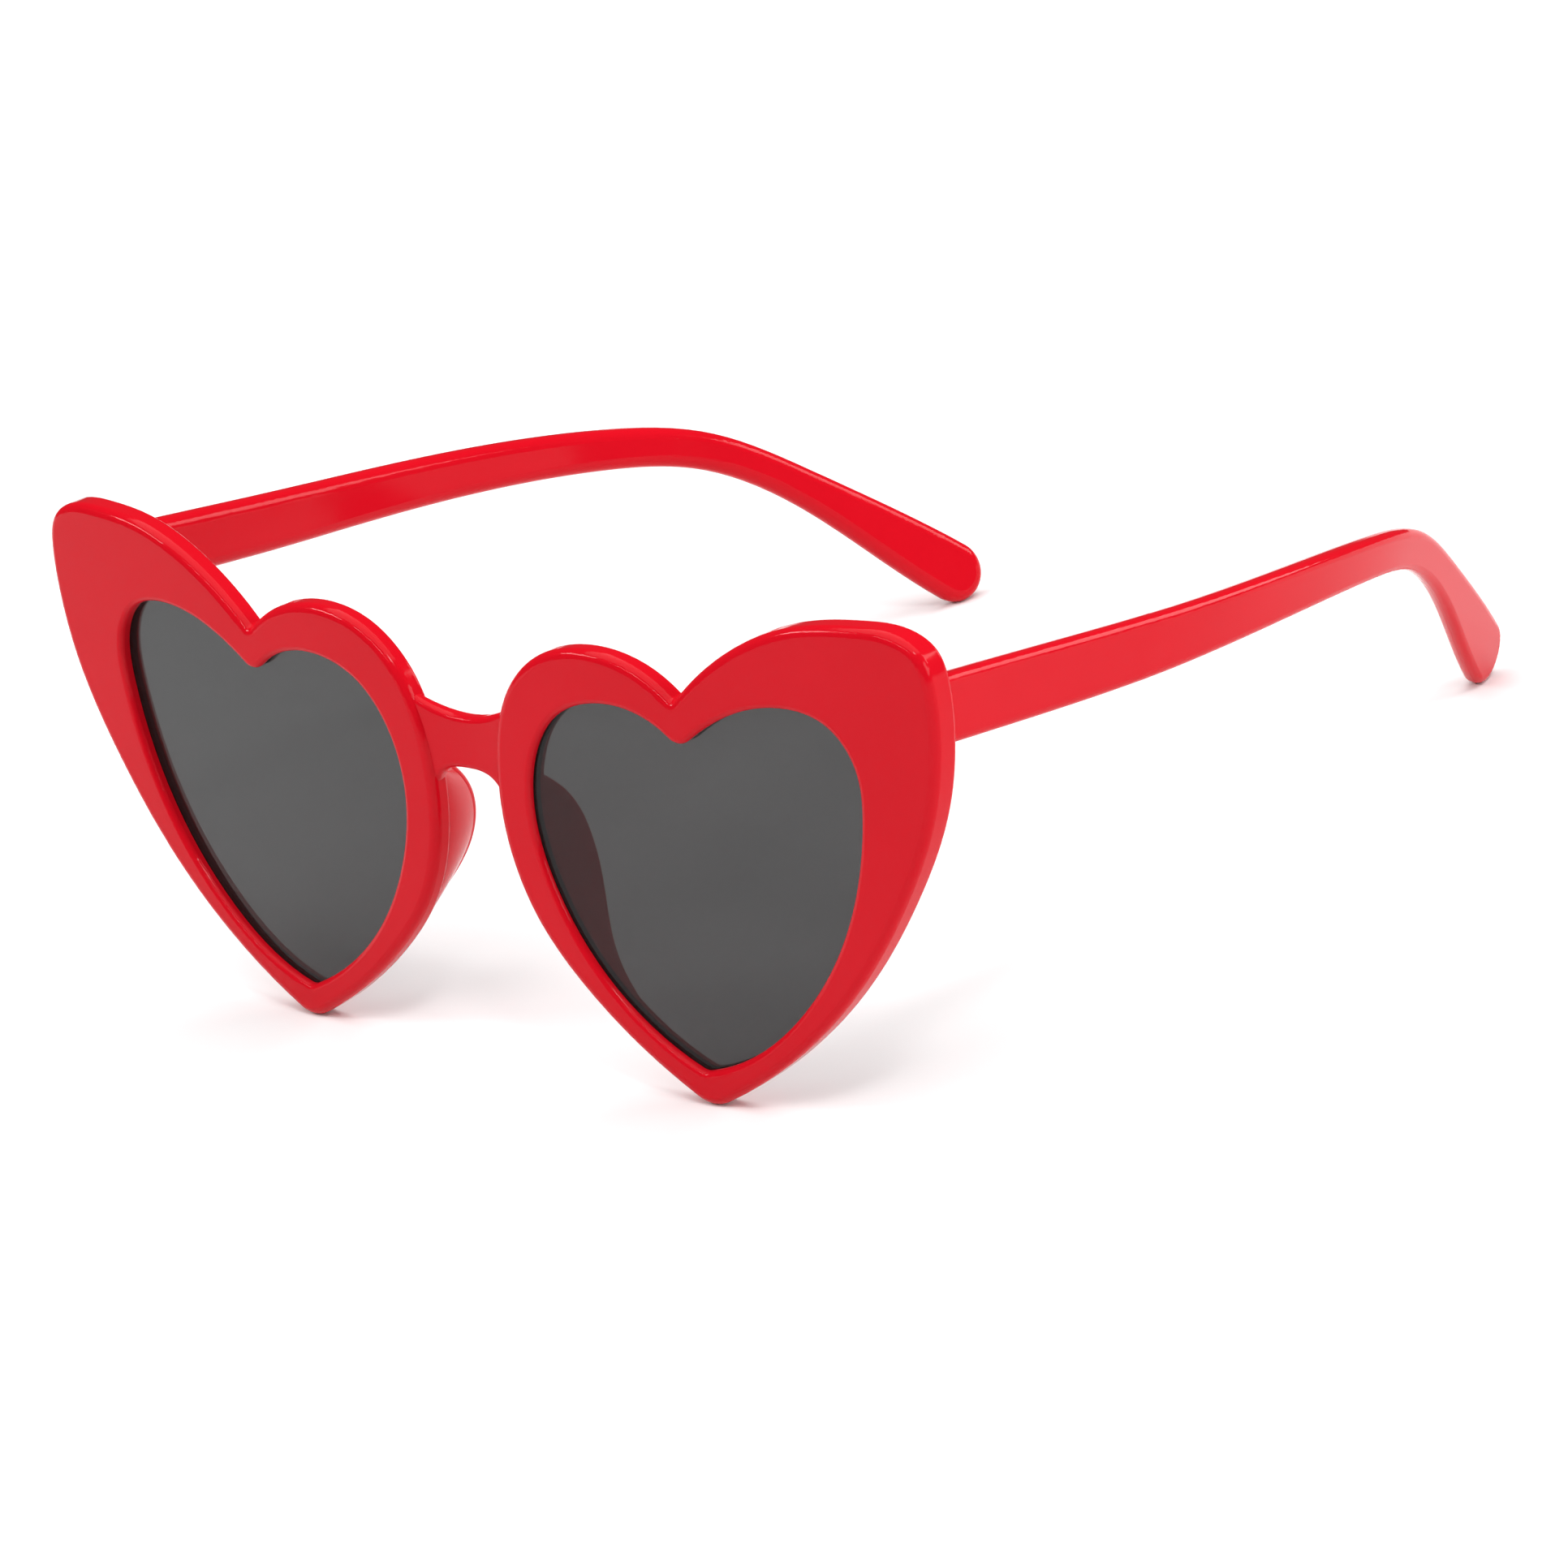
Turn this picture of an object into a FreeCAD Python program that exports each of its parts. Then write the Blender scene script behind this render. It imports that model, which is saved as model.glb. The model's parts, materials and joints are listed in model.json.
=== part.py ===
import FreeCAD, Part
import os
from math import asin, cos, radians, sin, sqrt, tan
from FreeCAD import Vector

# Heart shaped sunglasses, in millimetres and degrees. X runs across the front, which faces -Y, and Z
# is up. They stand open on the two heart tips and the two temple tips. The wearer's left half, on +X,
# is modelled and mirrored. The front is drawn upright and then leans back with all that it carries.

# Front
front_width = 147.2
front_height = 63.8
rim_gap = 10.8              # between the rims, where they are closest
front_thickness = 2.9       # at the bridge
front_wrap_radius = 680.0
back_wrap_radius = 530.0    # smaller than the front's, so that the wings are thicker
front_lean = 3.0
nose_rim = 5.4
outer_rim = 11.9
lower_rim = 4.6
upper_rim = 11.1
front_edge_round = 1.1
back_edge_round = 0.6
opening_front_round = 0.7
opening_back_round = 0.3
heart_notch_round = 0.8
heart_tip_round = 4.5
opening_notch_round = 2.2
opening_tip_round = 2.0

# Heart outlines, as shares of the width and height of their box, from the notch to the lower tip
heart_outer_side = [(0.439, 0.808), (0.560, 0.914), (0.720, 0.986), (0.850, 1.000), (0.930, 0.992),
                    (0.980, 0.958), (0.999, 0.890), (0.999, 0.810), (0.975, 0.665), (0.894, 0.475),
                    (0.763, 0.274), (0.596, 0.108), (0.418, -0.008)]
heart_nose_side = [(0.439, 0.808), (0.349, 0.869), (0.242, 0.887), (0.136, 0.860), (0.047, 0.772),
                   (0.006, 0.636), (0.007, 0.465), (0.058, 0.315), (0.154, 0.190), (0.281, 0.079),
                   (0.418, -0.008)]
opening_outer_side = [(0.486, 0.856), (0.624, 0.952), (0.786, 0.999), (0.931, 0.965), (0.994, 0.864),
                      (0.997, 0.740), (0.962, 0.565), (0.873, 0.354), (0.749, 0.186), (0.605, 0.063),
                      (0.443, -0.008)]
opening_nose_side = [(0.486, 0.856), (0.363, 0.934), (0.231, 0.941), (0.109, 0.889), (0.024, 0.763),
                     (0.001, 0.594), (0.043, 0.412), (0.138, 0.236), (0.287, 0.084), (0.443, -0.008)]

# Bridge, with its lower edge as shares of its half span and its corners' drop, from the middle out
bridge_top = 45.0           # at its middle
bridge_height = 6.8
bridge_top_flare = 2.0      # how far its top rises towards the rims
bridge_setback = 1.0        # of its face from the rims' faces, at its middle
bridge_swell = 0.3          # of its back behind the rims' backs, at its middle
bridge_bite = 2.4           # how far it runs into each rim
bridge_end_inset = 0.6      # of its ends from the rims' faces and backs
bridge_corner_bite = 0.8    # how far the ends of its lower edge lie in the rims
bridge_corner_drop = 4.2    # how far its lower edge drops where it runs down along the rims
bridge_lower_edge = [(0.35, 0.03), (0.58, 0.13), (0.76, 0.32), (0.89, 0.60), (1.00, 1.00)]
bridge_edge_round = 0.7

# Lenses
lens_thickness = 1.1
lens_lip = 0.9              # of the rim, behind the lens
groove_depth = 0.9
lens_clearance = 0.08

# Nose pads, with the shares of their reach at heights that are shares of their own height
pad_low = 9.0
pad_high = 39.0
pad_reach = 7.7
pad_width = 4.6             # where it meets the rim
pad_splay = 3.6             # its rear edge lies this far outwards of the rim's edge
pad_edge_radius = 1.1
pad_side_gap = 0.06         # how far it stays inside the rim's edge
pad_seat_depth = 1.2        # how far its section starts inside the rim
pad_turn = 0.40             # share of its depth at which it has turned away from the nose
pad_profile = [(0.00, 0.02), (0.16, 0.25), (0.30, 0.55), (0.47, 0.90), (0.64, 1.00), (0.78, 0.86),
               (0.89, 0.54), (0.96, 0.22), (1.00, 0.02)]

# Hinges
hinge_drop = 10.4           # from the heart's top down to the middle knuckle
knuckle_radius = 1.25
knuckle_height = 2.0
knuckle_end_gap = 0.06
knuckle_side_gap = 0.05     # between the knuckles and the temple
knuckle_lift = 0.25         # between the middle knuckle and the front
leaf_thickness = 0.8
front_leaf_length = 6.4
front_leaf_height = 7.0
temple_leaf_length = 11.0
temple_leaf_height = 4.6
leaf_corner_round = 0.8
leaf_gap = 0.3              # between each leaf and the other leaf's knuckles
pin_radius = 0.65
pin_clearance = 0.04
pin_head_radius = 1.15
pin_head_height = 0.7

# Leaf screws
screw_radius = 0.6
screw_head_radius = 1.05
screw_head_height = 0.5
screw_clearance = 0.02
screw_edge_distance = 2.4   # from the leaf's free end to the nearest screw
front_screw_spacing = 4.0
temple_screw_spacing = 4.0
front_screw_grip = 2.9      # how deep the screws go into the plastic
temple_screw_grip = 2.1
slot_width = 0.3
slot_depth = 0.25

# Temples
temple_inset = 1.1          # of the temple's outer face from the front's widest point
temple_thickness = 3.1
temple_front_gap = 0.12
temple_slope = 10.0
temple_straight = 106.6     # from the hinge to the corner of the bend
tail_slope = 45.0
bend_radius = 50.5
root_height = 8.4
shaft_height = 7.3          # halfway to the bend
neck_height = 5.6           # where the bend starts
bend_height = 5.3
wrist_height = 5.4          # where the bend ends
paddle_height = 8.6
curl_start = 37.0           # from the hinge to where the temple starts to curve inwards
curl_radius = 312.0
curl_turn = 13.7            # how far it curves, after which it runs on straight
temple_outer_round = 1.0
temple_inner_round = 1.6

# Core wires
core_thickness = 1.2
core_height = 2.2
core_start = 14.0           # from the hinge, along the temple
core_end_margin = 6.0       # from the core's end to the middle of the paddle's rounded end
core_clearance = 0.03

margin = 8.0                # spare length of cutting tools
tolerance = 0.001
edge_samples = 5            # points that tell where an edge lies
broad_normal = 0.7          # a face whose normal runs this much along X is a broad one

half_width = front_width / 2
half_gap = rim_gap / 2
hinge_height = front_height - hinge_drop
heart_box = (half_gap, 0.0, half_width - half_gap, front_height)
opening_box = (half_gap + nose_rim, lower_rim,
               half_width - half_gap - nose_rim - outer_rim, front_height - lower_rim - upper_rim)


def grown(box, amount):
    left, low, width, height = box
    return (left - amount, low - amount, width + 2 * amount, height + 2 * amount)


def outline_point(share, box):
    left, low, width, height = box
    return Vector(left + share[0] * width, 0, low + share[1] * height)


def spline(points, *tangents):
    curve = Part.BSplineCurve()
    if tangents:
        curve.interpolate(Points=points, InitialTangent=tangents[0], FinalTangent=tangents[1])
    else:
        curve.interpolate(Points=points)
    return curve.toShape()


def sag(radius, x):
    return radius - sqrt(radius ** 2 - x ** 2)


def front_at(x):
    return sag(front_wrap_radius, x)


def back_at(x):
    return front_thickness + sag(back_wrap_radius, x)


def arch(reach, middle_y, end_y):
    """Three points of an arc seen from above, from the right end to the left one."""
    return [Vector(-reach, end_y, -margin), Vector(0, middle_y, -margin), Vector(reach, end_y, -margin)]


def slab(near, far):
    """Everything between two upright surfaces that stand on the arcs near and far."""
    edges = [Part.Arc(*near).toShape(), Part.makeLine(near[2], far[2]),
             Part.Arc(*reversed(far)).toShape(), Part.makeLine(far[0], near[0])]
    return Part.Face(Part.Wire(edges)).extrude(Vector(0, 0, front_height + 2 * margin))


def wrap_slab(near_radius, near_y, far_radius, far_y):
    """Everything between two wrapped surfaces that cross the middle plane at near_y and far_y."""
    reach = half_width + margin
    return slab(arch(reach, near_y, near_y + sag(near_radius, reach)),
                arch(reach, far_y, far_y + sag(far_radius, reach)))


def heart_prism(outer_side, nose_side, box, notch_round, tip_round):
    """A heart outline run through the whole depth of the front, with its two corners rounded."""
    start = -margin
    length = back_at(half_width) + 2 * margin
    sides = [spline([outline_point(s, box) for s in side]) for side in (outer_side, nose_side)]
    prism = Part.Face(Part.Wire(sides)).extrude(Vector(0, length, 0))
    for share, radius in ((outer_side[0], notch_round), (outer_side[-1], tip_round)):
        corner = outline_point(share, box)
        upright = [e for e in prism.Edges
                   if all(abs(v.X - corner.x) + abs(v.Z - corner.z) < tolerance for v in e.Vertexes)]
        prism = prism.makeFillet(radius, upright)
    prism.translate(Vector(0, start, 0))
    return prism


def opening_prism(amount):
    return heart_prism(opening_outer_side, opening_nose_side, grown(opening_box, amount),
                       opening_notch_round, opening_tip_round)


def edges_on(shape, surface_at, inside=None):
    """Edges that lie on an upright curved surface and, if a solid is given, on or in that solid."""
    found = []
    for edge in shape.Edges:
        points = edge.discretize(edge_samples)
        if any(abs(p.y - surface_at(p.x)) > tolerance for p in points):
            continue
        if inside is None or inside.isInside(points[edge_samples // 2], tolerance, True):
            found.append(edge)
    return found


def lens_slab(clearance):
    """The space between the lens's two faces, with a clearance on each."""
    far = front_thickness - lens_lip
    near = far - lens_thickness
    return wrap_slab(back_wrap_radius, near - clearance, back_wrap_radius, far + clearance)


def make_rim():
    """One heart rim, with rounded edges and the groove that holds its lens."""
    blank = heart_prism(heart_outer_side, heart_nose_side, heart_box, heart_notch_round, heart_tip_round)
    blank = blank.common(wrap_slab(front_wrap_radius, 0, back_wrap_radius, front_thickness))
    blank = blank.makeFillet(front_edge_round, edges_on(blank, front_at))
    blank = blank.makeFillet(back_edge_round, edges_on(blank, back_at))
    opening = opening_prism(0)
    rim = blank.cut(opening)
    rim = rim.makeFillet(opening_front_round, edges_on(rim, front_at, opening))
    rim = rim.makeFillet(opening_back_round, edges_on(rim, back_at, opening))
    return rim.cut(opening_prism(groove_depth).common(lens_slab(lens_clearance)))


def make_lens():
    return opening_prism(groove_depth - lens_clearance).common(lens_slab(0))


def make_bridge():
    """The bar between the rims: hollow in front, arched behind, with corners that run down the rims."""
    end = half_gap + bridge_bite
    corner = half_gap + bridge_corner_bite
    bottom = bridge_top - bridge_height
    bottom_ends = bottom - bridge_corner_drop
    top_ends = bridge_top + bridge_top_flare
    top_arc = Part.Arc(Vector(-end, 0, top_ends), Vector(0, 0, bridge_top), Vector(end, 0, top_ends))
    left_foot = Vector(end, 0, bottom_ends)
    right_foot = Vector(-end, 0, bottom_ends)
    left_edge = [Vector(x * corner, 0, bottom - drop * bridge_corner_drop) for x, drop in bridge_lower_edge]
    right_edge = [Vector(-p.x, 0, p.z) for p in reversed(left_edge)]
    lower = right_edge + [Vector(0, 0, bottom)] + left_edge
    edges = [top_arc.toShape(), Part.makeLine(top_arc.EndPoint, left_foot),
             Part.makeLine(left_foot, lower[-1]), spline(lower),
             Part.makeLine(lower[0], right_foot), Part.makeLine(right_foot, top_arc.StartPoint)]
    bar = Part.Face(Part.Wire(edges)).extrude(Vector(0, back_at(end) + margin, 0))
    bar = bar.common(slab(arch(end, bridge_setback, front_at(end) + bridge_end_inset),
                          arch(end, front_thickness + bridge_swell, back_at(end) - bridge_end_inset)))
    long_edges = [e for e in bar.Edges if e.BoundBox.XLength > end and e.BoundBox.ZLength > tolerance]
    return bar.makeFillet(bridge_edge_round, long_edges)


def nose_side_x(height):
    """Where the rim's edge beside the nose is, at a height up the front."""
    edge = spline([outline_point(s, heart_box) for s in heart_nose_side])
    level = Part.makeLine(Vector(0, 0, height), Vector(half_width, 0, height))
    return min(pair[0].x for pair in edge.distToShape(level)[1])


def pad_section(height, reach_share):
    """A thumb shaped section of the pad, from inside the rim to its rounded rear edge."""
    edge_x = nose_side_x(height)
    inner = edge_x + pad_side_gap
    outer = edge_x + pad_width
    rear_x = edge_x + pad_splay
    seat_y = back_at(edge_x) - pad_seat_depth
    rear_y = back_at(edge_x) + reach_share * pad_reach
    round_y = rear_y - pad_edge_radius
    turn_y = seat_y + pad_turn * (round_y - seat_y)
    seat = Vector(inner, seat_y, height)
    rear = [Vector(rear_x - pad_edge_radius, round_y, height), Vector(rear_x, rear_y, height),
            Vector(rear_x + pad_edge_radius, round_y, height)]
    foot = Vector(outer, seat_y, height)
    flank = Part.BezierCurve()
    flank.setPoles([seat, Vector(inner, turn_y, height), rear[0]])
    edges = [flank.toShape(), Part.Arc(*rear).toShape(),
             Part.makeLine(rear[2], foot), Part.makeLine(foot, seat)]
    return Part.Wire(edges)


def make_pad(front):
    """A nose fin that carries on the rim's side, grows out of its back and is bonded to it."""
    sections = [pad_section(pad_low + share * (pad_high - pad_low), reach_share)
                for share, reach_share in pad_profile]
    fin = Part.makeLoft(sections, True, False).cut(front)
    return max(fin.Solids, key=lambda solid: solid.Volume)


# The hinge's axis and the plane of the temple's inner face
temple_inner_x = half_width - temple_inset - temple_thickness
axis_x = temple_inner_x - knuckle_side_gap - knuckle_radius
axis_y = back_at(axis_x) + knuckle_lift + knuckle_radius
axis_point = Vector(axis_x, axis_y, hinge_height)
middle_half = knuckle_height / 2
barrel_top = middle_half + knuckle_end_gap + knuckle_height
local_slope = temple_slope - front_lean     # of the temple against the front's own level


def knuckle(low, high, radius):
    return Part.makeCylinder(radius, high - low, Vector(axis_x, axis_y, hinge_height + low))


def pin_bore():
    return knuckle(-barrel_top - margin, barrel_top + margin, pin_radius + pin_clearance)


def block(low, high):
    return Part.makeBox(high.x - low.x, high.y - low.y, high.z - low.z, low)


def make_front_leaf():
    """The leaf that lies on the wing's back, with the upper and the lower knuckle."""
    low = hinge_height - front_leaf_height / 2
    plate = block(Vector(axis_x - front_leaf_length, 0, low),
                  Vector(axis_x, axis_y + margin, low + front_leaf_height))
    free_corners = [e for e in plate.Edges
                    if e.BoundBox.YLength > margin and e.BoundBox.XMax < axis_x - tolerance]
    plate = plate.makeFillet(leaf_corner_round, free_corners)
    far = front_thickness + leaf_thickness
    leaf = plate.common(wrap_slab(back_wrap_radius, front_thickness, back_wrap_radius, far))
    notch_half = middle_half + knuckle_end_gap
    leaf = leaf.cut(block(Vector(axis_x - knuckle_radius - leaf_gap, 0, hinge_height - notch_half),
                          Vector(axis_x + margin, axis_y + margin, hinge_height + notch_half)))
    head_room = block(Vector(axis_x - pin_head_radius - leaf_gap, 0, hinge_height + barrel_top),
                      Vector(axis_x + margin, axis_y + margin, hinge_height + barrel_top + margin))
    leaf = leaf.cut(head_room)
    for low, high in ((notch_half, barrel_top), (-barrel_top, -notch_half)):
        web = block(Vector(axis_x - knuckle_radius, back_at(axis_x), hinge_height + low),
                    Vector(axis_x, axis_y, hinge_height + high))
        leaf = leaf.fuse(web).fuse(knuckle(low, high, knuckle_radius))
    return leaf.cut(pin_bore()).removeSplitter()


def make_temple_leaf():
    """The leaf that lies on the temple's inner face, with the middle knuckle."""
    plate_x = temple_inner_x - leaf_thickness
    low = hinge_height - temple_leaf_height / 2
    plate = block(Vector(plate_x, axis_y + knuckle_radius + leaf_gap, low),
                  Vector(temple_inner_x, axis_y + temple_leaf_length, low + temple_leaf_height))
    free_end = axis_y + temple_leaf_length - tolerance
    free_corners = [e for e in plate.Edges if e.BoundBox.YMin > free_end and e.BoundBox.ZLength < tolerance]
    plate = plate.makeFillet(leaf_corner_round, free_corners)
    plate.rotate(axis_point, Vector(1, 0, 0), -local_slope)
    web = block(Vector(plate_x, axis_y, hinge_height - middle_half),
                Vector(temple_inner_x, axis_y + knuckle_radius + 2 * leaf_gap, hinge_height + middle_half))
    leaf = plate.fuse(web).fuse(knuckle(-middle_half, middle_half, knuckle_radius))
    return leaf.cut(pin_bore()).removeSplitter()


def slotted(screw, head_top, direction, head_radius):
    """Cuts a driver's slot into a screw whose head ends at head_top."""
    slot = Part.makeBox(2 * head_radius + margin, slot_width, slot_depth + margin,
                        Vector(-head_radius - margin / 2, -slot_width / 2, -slot_depth))
    turn = FreeCAD.Rotation(Vector(0, 0, 1), direction)
    slot.Placement = FreeCAD.Placement(head_top, turn).multiply(slot.Placement)
    return screw.cut(slot)


def make_pin():
    """The hinge screw: its head sits on the upper knuckle, and it ends level with the lower one."""
    shank = knuckle(-barrel_top, barrel_top, pin_radius)
    head = knuckle(barrel_top, barrel_top + pin_head_height, pin_head_radius)
    top = axis_point + Vector(0, 0, barrel_top + pin_head_height)
    return slotted(shank.fuse(head), top, Vector(0, 0, 1), pin_head_radius)


def leaf_screw(seat, outward, grip, clearance):
    """A countersunk screw whose head is level with the leaf at seat, or with a clearance its hole."""
    inward = outward * -1
    length = leaf_thickness + grip + clearance
    shank = Part.makeCylinder(screw_radius + clearance, length, seat, inward)
    head = Part.makeCone(screw_head_radius + clearance, screw_radius + clearance, screw_head_height,
                         seat, inward)
    return shank.fuse(head).removeSplitter()


def front_screw_seats():
    """Places of the front leaf's screws, and the way their heads face."""
    x = axis_x - front_leaf_length + screw_edge_distance
    turn = asin(x / back_wrap_radius)
    outward = Vector(-sin(turn), cos(turn), 0)
    seats = []
    for side in (-1, 1):
        z = hinge_height + side * front_screw_spacing / 2
        seats.append(Vector(x, back_at(x), z) + outward * leaf_thickness)
    return seats, outward


def temple_screw_seats():
    outward = Vector(-1, 0, 0)
    far = temple_leaf_length - screw_edge_distance
    along = Vector(0, cos(radians(local_slope)), -sin(radians(local_slope)))
    start = Vector(temple_inner_x - leaf_thickness, axis_y, hinge_height)
    return [start + along * far, start + along * (far - temple_screw_spacing)], outward


def screw_set(seats, outward, grip):
    screws = []
    for seat in seats:
        screws.append(slotted(leaf_screw(seat, outward, grip, 0), seat, outward, screw_head_radius))
    return Part.makeCompound(screws)


def with_holes(shape, seats, outward, grip):
    for seat in seats:
        shape = shape.cut(leaf_screw(seat, outward, grip, screw_clearance))
    return shape


def side_outline(hinge, heights, start, end_margin, tail_length):
    """The temple's outline seen from the side: straight, bent down, and round at the tail's end."""
    root, shaft, neck, bend, wrist, paddle = heights
    straight = Vector(0, cos(radians(temple_slope)), -sin(radians(temple_slope)))
    tail = Vector(0, cos(radians(tail_slope)), -sin(radians(tail_slope)))
    middle = (straight + tail).normalize()
    half_turn = radians(tail_slope - temple_slope) / 2
    corner = hinge + straight * temple_straight
    tangent_length = bend_radius * tan(half_turn)
    inward = (tail - straight).normalize()
    bend_start = corner - straight * tangent_length
    first = hinge + straight * start
    stations = [(first, straight, root), ((first + bend_start) / 2, straight, shaft),
                (bend_start, straight, neck),
                (corner + inward * (bend_radius / cos(half_turn) - bend_radius), middle, bend),
                (corner + tail * tangent_length, tail, wrist),
                (corner + tail * (tail_length - end_margin), tail, paddle)]
    across = Vector(1, 0, 0)
    upper = [p + across.cross(d) * (h / 2) for p, d, h in stations]
    lower = [p - across.cross(d) * (h / 2) for p, d, h in stations]
    tip = stations[-1][0] + tail * (paddle / 2)
    edges = [spline(upper, straight, tail), Part.Arc(upper[-1], tip, lower[-1]).toShape(),
             spline(list(reversed(lower)), tail * -1, straight * -1), Part.makeLine(lower[0], upper[0])]
    return Part.Face(Part.Wire(edges))


def plan_band(hinge, thickness):
    """The temple's curve seen from above, with straight ends, as a sheet that stands square to the tail."""
    lean_back = tan(radians(tail_slope))
    middle_x = half_width - temple_inset - temple_thickness / 2
    straight_gain = cos(radians(temple_slope)) + lean_back * sin(radians(temple_slope))
    hinge_y = hinge.y - lean_back * hinge.z
    turn = radians(curl_turn)
    centre = Vector(middle_x - curl_radius, hinge_y + curl_start * straight_gain, 0)
    onward = Vector(-sin(turn), cos(turn), 0) * (temple_straight + front_height)
    rails = []
    for side in (1, -1):
        radius = curl_radius + side * thickness / 2
        arc = [centre + Vector(radius * cos(a), radius * sin(a), 0) for a in (0, turn / 2, turn)]
        start = Vector(centre.x + radius, hinge_y - 2 * margin, 0)
        rails.append((start, arc, arc[2] + onward))
    (outer_start, outer, outer_end), (inner_start, inner, inner_end) = rails
    edges = [Part.makeLine(outer_start, outer[0]), Part.Arc(*outer).toShape(),
             Part.makeLine(outer[2], outer_end), Part.makeLine(outer_end, inner_end),
             Part.makeLine(inner_end, inner[2]), Part.Arc(*reversed(inner)).toShape(),
             Part.makeLine(inner[0], inner_start), Part.makeLine(inner_start, outer_start)]
    sheet = Part.Face(Part.Wire(edges))
    rise = Vector(0, lean_back, 1)
    sheet.translate(rise * -margin)
    return sheet.extrude(rise * (front_height + 2 * margin))


def blade(hinge, heights, thickness, start, end_margin, tail_length):
    """A strip that follows the temple's bends, with the given heights and thickness."""
    outline = side_outline(hinge, heights, start, end_margin, tail_length)
    return outline.extrude(Vector(half_width + margin, 0, 0)).common(plan_band(hinge, thickness))


def broad_edges(strip, side, front_y):
    """The edges round a strip's broad face on one side, apart from those at its front end."""
    broad = []
    narrow = []
    for face in strip.Faces:
        first_u, last_u, first_v, last_v = face.ParameterRange
        normal_x = face.normalAt((first_u + last_u) / 2, (first_v + last_v) / 2).x
        if side * normal_x > broad_normal:
            broad += face.Edges
        elif abs(normal_x) < broad_normal:
            narrow += face.Edges
    return [e for e in broad if e.BoundBox.YMax > front_y + tolerance and any(e.isSame(n) for n in narrow)]


def mirrored(shape):
    return shape.mirror(Vector(0, 0, 0), Vector(1, 0, 0))


# Front, drawn upright
rim = make_rim()
front = rim.fuse(mirrored(rim)).fuse(make_bridge()).removeSplitter()
pad = make_pad(front)
front_seats, front_outward = front_screw_seats()
front_leaf = with_holes(make_front_leaf(), front_seats, front_outward, front_screw_grip)
for seat in front_seats:
    hole = leaf_screw(seat, front_outward, front_screw_grip, screw_clearance)
    front = front.cut(hole).cut(mirrored(hole))

temple_seats, temple_outward = temple_screw_seats()
temple_leaf = with_holes(make_temple_leaf(), temple_seats, temple_outward, temple_screw_grip)

# The front leans back and is lifted until its tips touch the ground
lean = FreeCAD.Placement(Vector(0, 0, 0), FreeCAD.Rotation(Vector(1, 0, 0), -front_lean))
leaned = front.copy()
leaned.Placement = lean
lift = Vector(0, 0, -leaned.optimalBoundingBox(False).ZMin)
stand = FreeCAD.Placement(lift, FreeCAD.Rotation()).multiply(lean)


def stood(shape):
    moved = shape.copy()
    moved.Placement = stand.multiply(shape.Placement)
    return moved


# Temple, drawn standing, with its tail reaching the ground
hinge = stand.multVec(axis_point)
hinge_line = Vector(0, hinge.y, hinge.z)


def core_strip(clearance):
    """The flat strip inside the temple, or with a clearance its channel."""
    heights = [core_height + 2 * clearance] * len(temple_heights)
    return blade(hinge_line, heights, core_thickness + 2 * clearance,
                 core_start - clearance, core_end_margin - clearance, tail_length)


temple_heights = [root_height, shaft_height, neck_height, bend_height, wrist_height, paddle_height]
corner_height = hinge.z - temple_straight * sin(radians(temple_slope))
tail_length = (corner_height - paddle_height / 2) / sin(radians(tail_slope))
temple = blade(hinge_line, temple_heights, temple_thickness, -margin, 0, tail_length)
temple = temple.makeFillet(temple_outer_round, broad_edges(temple, 1, hinge.y))
temple = temple.makeFillet(temple_inner_round, broad_edges(temple, -1, hinge.y))
front_space = wrap_slab(front_wrap_radius, -margin, back_wrap_radius, front_thickness + temple_front_gap)
temple = temple.cut(stood(front_space))
core = core_strip(0)
temple = temple.cut(core_strip(core_clearance))
for seat in temple_seats:
    temple = temple.cut(stood(leaf_screw(seat, temple_outward, temple_screw_grip, screw_clearance)))

pieces = {"front_frame": stood(front)}
left_pieces = {
    "lens": stood(make_lens()),
    "nose_pad": stood(pad),
    "front_hinge_leaf": stood(front_leaf),
    "hinge_screw": stood(make_pin()),
    "front_leaf_screws": stood(screw_set(front_seats, front_outward, front_screw_grip)),
    "temple": temple,
    "temple_hinge_leaf": stood(temple_leaf),
    "temple_leaf_screws": stood(screw_set(temple_seats, temple_outward, temple_screw_grip)),
    "temple_core_wire": core,
}
for name, shape in left_pieces.items():
    pieces["left_" + name] = shape
    pieces["right_" + name] = mirrored(shape)

# The origin is on the ground, in the middle of the box that the open sunglasses fill
near = pieces["front_frame"].optimalBoundingBox(False).YMin
far = temple.optimalBoundingBox(False).YMax
centring = Vector(0, -(near + far) / 2, 0)

os.makedirs("parts", exist_ok=True)
for name, shape in pieces.items():
    shape.translate(centring)
    shape.exportStep("parts/" + name + ".step")
    state = "valid" if shape.isValid() else "INVALID"
    print(name, len(shape.Solids), "solids", round(shape.Volume, 1), "mm3", state)

axis = stand.Rotation.multVec(Vector(0, 0, 1))
hinge_place = hinge + centring
print("left hinge at", [round(c, 3) for c in hinge_place], "axis", [round(c, 5) for c in axis])
print("depth", round(far - near, 2), "front plane at", round(near + centring.y, 2))
print("tail length", round(tail_length, 2))
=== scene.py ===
import json
import math

import bpy
from mathutils import Matrix, Vector

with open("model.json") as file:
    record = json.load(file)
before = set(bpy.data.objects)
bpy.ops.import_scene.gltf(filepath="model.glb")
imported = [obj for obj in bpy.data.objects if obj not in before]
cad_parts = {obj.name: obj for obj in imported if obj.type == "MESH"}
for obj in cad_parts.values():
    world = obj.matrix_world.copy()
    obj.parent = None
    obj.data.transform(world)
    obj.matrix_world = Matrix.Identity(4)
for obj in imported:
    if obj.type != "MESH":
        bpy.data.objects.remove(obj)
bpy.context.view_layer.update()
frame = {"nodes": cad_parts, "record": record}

print("frame loaded:", len(frame["nodes"]), "nodes")


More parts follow.
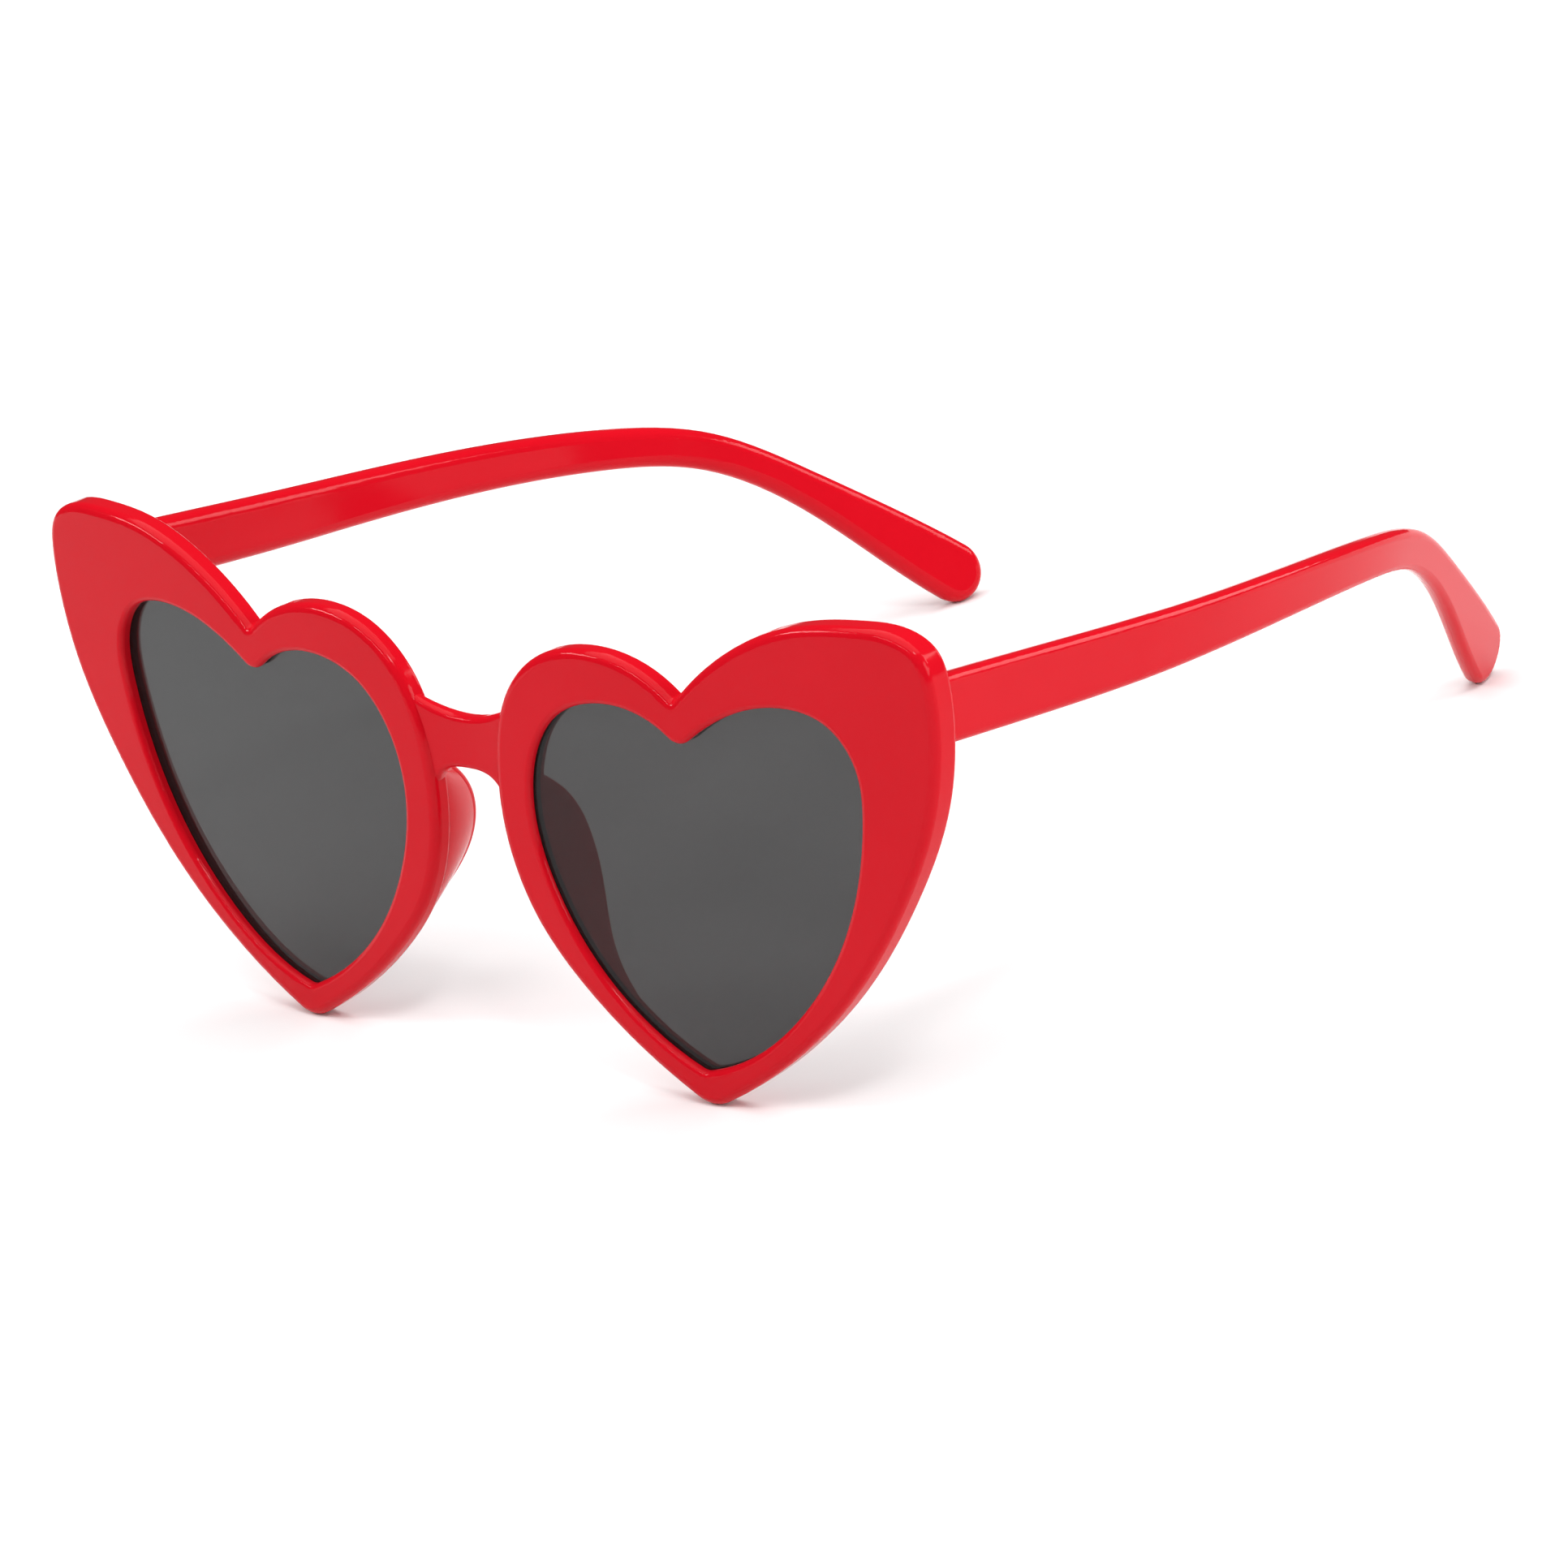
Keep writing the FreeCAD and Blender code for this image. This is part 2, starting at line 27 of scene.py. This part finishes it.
# small helpers for node trees

def newMaterial(name):
    material = bpy.data.materials.new(name)
    material.use_nodes = True
    return material, material.node_tree.nodes["Principled BSDF"]


def setInputs(node, values):
    for key, value in values.items():
        node.inputs[key].default_value = value


def linkInputs(tree, node, sources):
    for key, source in sources.items():
        tree.links.new(source, node.inputs[key])


def objectPoint(tree, stretch=(1, 1, 1), turn=(0, 0, 0)):
    coordinates = tree.nodes.new("ShaderNodeTexCoord")
    mapping = tree.nodes.new("ShaderNodeMapping")
    setInputs(mapping, {"Scale": stretch, "Rotation": turn})
    linkInputs(tree, mapping, {"Vector": coordinates.outputs["Object"]})
    return mapping.outputs["Vector"]


def noise(tree, point, pattern):
    node = tree.nodes.new("ShaderNodeTexNoise")
    setInputs(node, pattern)
    linkInputs(tree, node, {"Vector": point})
    return node.outputs["Fac"]


def mapRange(tree, value, taken, given):
    node = tree.nodes.new("ShaderNodeMapRange")
    setInputs(node, {"From Min": taken[0], "From Max": taken[1], "To Min": given[0], "To Max": given[1]})
    linkInputs(tree, node, {"Value": value})
    return node.outputs["Result"]


def mixColor(tree, factor, first, second):
    node = tree.nodes.new("ShaderNodeMix")
    node.data_type = "RGBA"
    setInputs(node, {6: (*first, 1), 7: (*second, 1)})  # 6 and 7 are its two colours
    linkInputs(tree, node, {0: factor})
    return node.outputs[2]


def bump(tree, height, relief):
    node = tree.nodes.new("ShaderNodeBump")
    setInputs(node, relief)
    linkInputs(tree, node, {"Height": height})
    return node.outputs["Normal"]


# polished red plastic: even colour with a faint flow, very fine peel and hairline wear
redPlastic = {
    "deepRed": (0.54, 0.003, 0.010),
    "brightRed": (0.61, 0.005, 0.014),
    "ior": 1.46,
    "shine": 0.12,
    "gloss": (0.07, 0.13),  # roughness between the hairlines and on them
    "flow": {"Scale": 40.0, "Detail": 3.0},
    "peel": {"Scale": 700.0, "Detail": 1.0},
    "peelRelief": {"Strength": 0.05, "Distance": 0.00002},
    "hair": {"Scale": 900.0, "Detail": 4.0, "Roughness": 0.7},
    "hairStretch": (1.0, 0.04, 0.3),
    "hairTurn": (0, 0, 0.5),
    "hairCover": (0.35, 0.75),
}


def makeRedPlastic(values):
    material, shader = newMaterial("redPlastic")
    tree = material.node_tree
    point = objectPoint(tree)
    flow = noise(tree, point, values["flow"])
    hair = noise(tree, objectPoint(tree, values["hairStretch"], values["hairTurn"]), values["hair"])
    peel = noise(tree, point, values["peel"])
    linkInputs(tree, shader, {
        "Base Color": mixColor(tree, flow, values["deepRed"], values["brightRed"]),
        "Roughness": mapRange(tree, hair, values["hairCover"], values["gloss"]),
        "Normal": bump(tree, peel, values["peelRelief"]),
    })
    setInputs(shader, {"IOR": values["ior"], "Specular IOR Level": values["shine"]})
    return material


# smoke grey lens sheet, seen through twice: front skin and back skin
smokeLens = {
    "tint": (0.012, 0.012, 0.0125),
    "skinAlpha": 0.758,
    "ior": 1.49,
    "shine": 0.20,
    "gloss": (0.02, 0.05),
    "haze": {"Scale": 160.0, "Detail": 5.0, "Roughness": 0.6},
    "hazeCover": (0.3, 0.8),
    "wave": {"Scale": 60.0, "Detail": 1.0},
    "waveRelief": {"Strength": 0.03, "Distance": 0.00003},
}


def makeSmokeLens(values):
    material, shader = newMaterial("smokeLens")
    tree = material.node_tree
    point = objectPoint(tree)
    haze = noise(tree, point, values["haze"])
    wave = noise(tree, point, values["wave"])
    linkInputs(tree, shader, {
        "Roughness": mapRange(tree, haze, values["hazeCover"], values["gloss"]),
        "Normal": bump(tree, wave, values["waveRelief"]),
    })
    setInputs(shader, {"Base Color": (*values["tint"], 1), "Alpha": values["skinAlpha"],
                       "IOR": values["ior"], "Specular IOR Level": values["shine"]})
    material.surface_render_method = "BLENDED"
    return material


# metal of the hinges, screws and cores: grain drawn out one way
hingeMetal = {
    "dull": (0.36, 0.35, 0.33),
    "bright": (0.56, 0.55, 0.52),
    "gloss": (0.22, 0.40),
    "grainScale": 2500.0,
    "grainStretch": (1.0, 1.0, 0.06),
    "grainRelief": {"Strength": 0.15, "Distance": 0.00001},
}
screwSteel = {
    "dull": (0.24, 0.24, 0.25),
    "bright": (0.42, 0.42, 0.43),
    "gloss": (0.18, 0.34),
    "grainScale": 3000.0,
    "grainStretch": (1.0, 0.3, 1.0),
    "grainRelief": {"Strength": 0.12, "Distance": 0.000008},
}
coreMetal = {
    "dull": (0.44, 0.43, 0.40),
    "bright": (0.64, 0.63, 0.60),
    "gloss": (0.28, 0.46),
    "grainScale": 2200.0,
    "grainStretch": (1.0, 0.05, 1.0),
    "grainRelief": {"Strength": 0.15, "Distance": 0.00001},
}
metalGrain = {"Detail": 4.0, "Roughness": 0.65}
metalCover = (0.3, 0.7)


def makeMetal(name, values):
    material, shader = newMaterial(name)
    tree = material.node_tree
    pattern = {"Scale": values["grainScale"], **metalGrain}
    grain = noise(tree, objectPoint(tree, values["grainStretch"]), pattern)
    linkInputs(tree, shader, {
        "Base Color": mixColor(tree, grain, values["dull"], values["bright"]),
        "Roughness": mapRange(tree, grain, metalCover, values["gloss"]),
        "Normal": bump(tree, grain, values["grainRelief"]),
    })
    setInputs(shader, {"Metallic": 1.0})
    return material


finishes = {
    "red_plastic": makeRedPlastic(redPlastic),
    "smoke_lens": makeSmokeLens(smokeLens),
    "hinge_metal": makeMetal("hingeMetal", hingeMetal),
    "screw_steel": makeMetal("screwSteel", screwSteel),
    "core_metal": makeMetal("coreMetal", coreMetal),
}
print("finishes made:", len(finishes))

# every node takes the finish of its slot
slotOfNode = {row["node"]: row["material_slot"] for row in frame["record"]["subparts"]}
for nodeName, node in frame["nodes"].items():
    for slot in node.material_slots:
        slot.material = finishes[slotOfNode[nodeName]]
print("nodes finished")

# a round white floor
floorSheet = {"radius": 1.05, "corners": 96, "color": (0.86, 0.86, 0.86), "roughness": 0.9, "shine": 0.0}
bpy.ops.object.select_all(action="DESELECT")
bpy.ops.mesh.primitive_circle_add(vertices=floorSheet["corners"], radius=floorSheet["radius"],
                                  fill_type="NGON")
floor = bpy.context.active_object
floor.name = "floor"
floorPaint, floorShader = newMaterial("floorPaint")
setInputs(floorShader, {"Base Color": (*floorSheet["color"], 1), "Roughness": floorSheet["roughness"],
                        "Specular IOR Level": floorSheet["shine"]})
floor.data.materials.append(floorPaint)

# soft light from above, narrow lamps in front that draw lines on the edges, two lamps on the right
studio = {
    "skyLight": 0.07,
    "skyShown": 1.3,  # past the floor's edge the sky looks as white as the floor
    "lamps": [
        # name, place, aim, width, depth, watts
        ("ceiling", (0.0, 0.1, 2.0), (0, 0.1, 0), 3.0, 3.0, 62.0),
        ("keyLeft", (-0.8, -0.72, 0.73), (0, -0.05, 0.03), 0.45, 0.13, 4.2),
        ("frontStrip", (-0.06, -0.94, 0.80), (0, -0.05, 0.03), 0.75, 0.05, 2.8),
        ("fillRight", (0.60, -0.36, 0.95), (0, -0.05, 0.03), 0.16, 0.12, 1.8),
        ("sideRight", (1.0, 0.1, 0.35), (0, 0, 0.03), 0.5, 0.4, 3.8),
        ("backRight", (0.5, 0.9, 0.4), (0, 0, 0.03), 0.5, 0.4, 4.2),
    ],
}
world = bpy.data.worlds.new("studioSky")
world.use_nodes = True
skyTree = world.node_tree
sky = skyTree.nodes["Background"]
setInputs(sky, {"Color": (1, 1, 1, 1)})
seenRay = skyTree.nodes.new("ShaderNodeLightPath").outputs["Is Camera Ray"]
linkInputs(skyTree, sky, {
    "Strength": mapRange(skyTree, seenRay, (0, 1), (studio["skyLight"], studio["skyShown"])),
})
bpy.context.scene.world = world
for lampName, place, aim, width, depth, watts in studio["lamps"]:
    bpy.ops.object.light_add(type="AREA", location=place)
    lamp = bpy.context.active_object
    lamp.name = lampName
    lamp.data.shape = "RECTANGLE"
    lamp.data.size = width
    lamp.data.size_y = depth
    lamp.data.energy = watts
    lamp.visible_camera = False
    lamp.rotation_euler = (Vector(aim) - Vector(place)).to_track_quat("-Z", "Y").to_euler()
print("floor and lamps placed")

# camera at the photograph's viewing angle
view = {
    "azimuth": 43.824,
    "elevation": 21.592,
    "roll": -9.114,
    "lens": 148.91,
    "sensor": 36.0,
    "place": (0.53646, -0.57731, 0.32085),
}
turn, rise, roll = (math.radians(view[key]) for key in ("azimuth", "elevation", "roll"))
back = Vector((math.sin(turn) * math.cos(rise), -math.cos(turn) * math.cos(rise), math.sin(rise)))
level = Vector((math.cos(turn), math.sin(turn), 0))
upward = back.cross(level)
right = math.cos(roll) * level + math.sin(roll) * upward
up = math.cos(roll) * upward - math.sin(roll) * level
bpy.ops.object.camera_add()
camera = bpy.context.active_object
camera.name = "photoCamera"
camera.matrix_world = Matrix.Translation(view["place"]) @ Matrix((right, up, back)).transposed().to_4x4()
camera.data.lens = view["lens"]
camera.data.sensor_width = view["sensor"]
bpy.context.scene.camera = camera
bpy.context.scene.view_settings.view_transform = "Standard"
print("camera placed")
